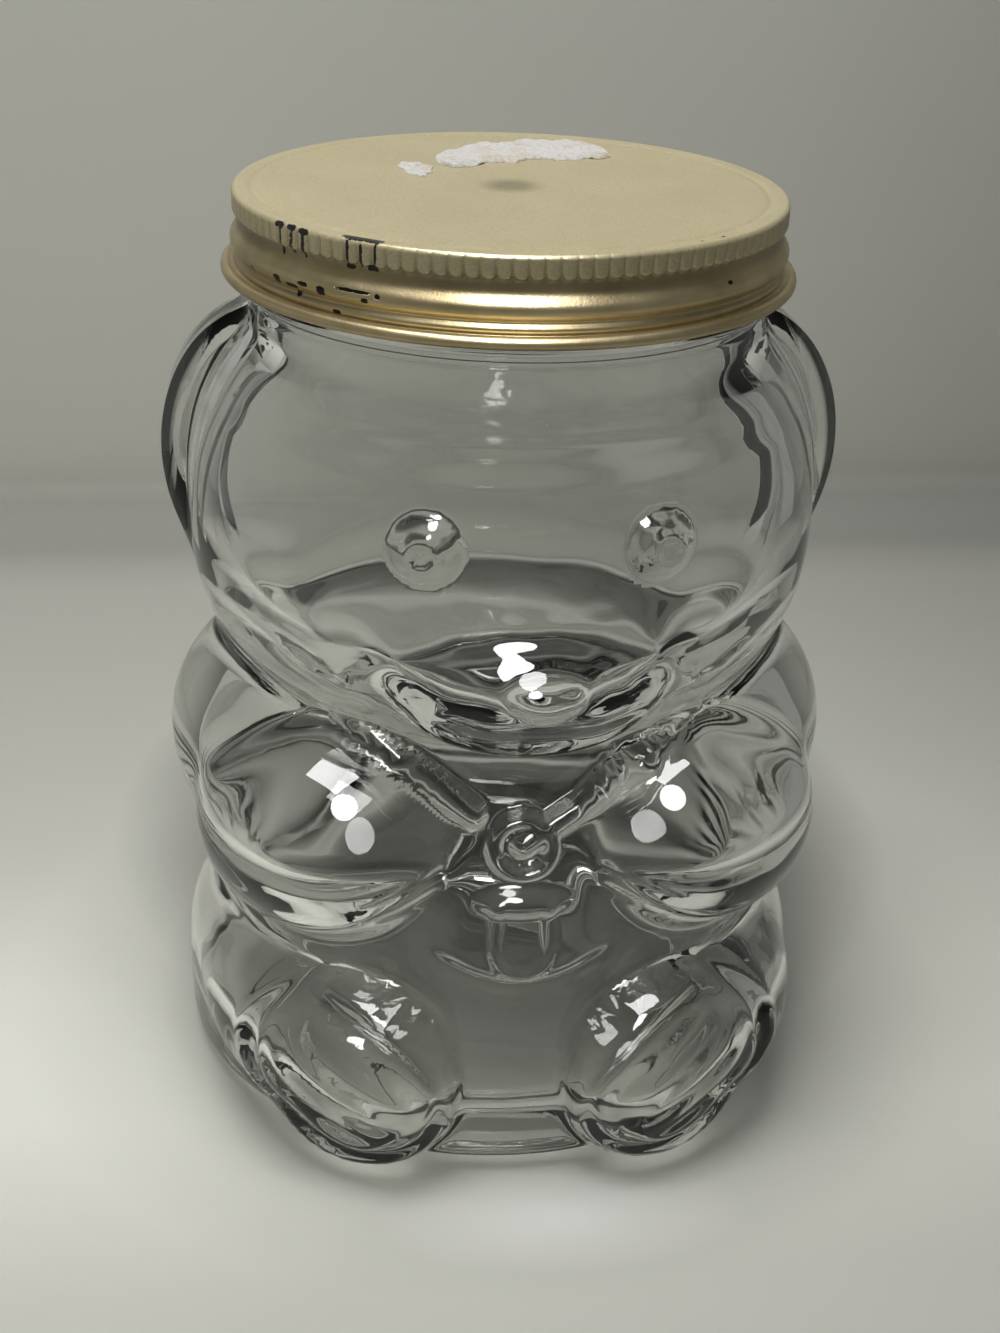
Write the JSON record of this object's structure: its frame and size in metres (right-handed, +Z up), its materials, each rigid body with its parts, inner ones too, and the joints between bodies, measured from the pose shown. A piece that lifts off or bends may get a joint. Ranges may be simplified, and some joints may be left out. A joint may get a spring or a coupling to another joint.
{
  "type": "honey bear bottle",
  "caption": "Clear glass honey jar shaped as a sitting bear, with a screw lid of tinplate that turns and rises, and a loose liner.",
  "frame": {"origin": "middle of the base, on the axis of the mouth, where the jar stands on the table", "axes": "+Z up along the axis of the mouth, -Y the way the bear faces, +X to the right of someone who looks at its face"},
  "size_m": [0.1008, 0.101, 0.1388],
  "materials": {
    "clear_glass": "smooth clear soda-lime glass with a faint grey-green tint",
    "gold_tinplate": "pale gold lacquer, satin on the sides and slightly grained on the panel, chipped black in places",
    "liner_card": "matt off-white waxed card",
    "torn_paper": "matt torn white paper"
  },
  "bodies": {
    "jar": {"glass_jar": "clear_glass"},
    "liner": {"lid_liner": "liner_card"},
    "lid": {"screw_lid": "gold_tinplate", "paper_scraps": "torn_paper"}
  },
  "joints": [
    {"name": "lid_rise", "type": "slide", "parent": "jar", "child": "liner", "axis": [0, 0, 1], "range_m": [0, 0.00424]},
    {"name": "lid_turn", "type": "hinge", "parent": "liner", "child": "lid", "pos_m": [0, 0, 0.131], "axis": [0, 0, 1], "range_deg": [0, 360]}
  ],
  "couplings": [
    {"joint": "lid_rise", "follows": "lid_turn", "m_per_rad": 0.0006737}
  ]
}
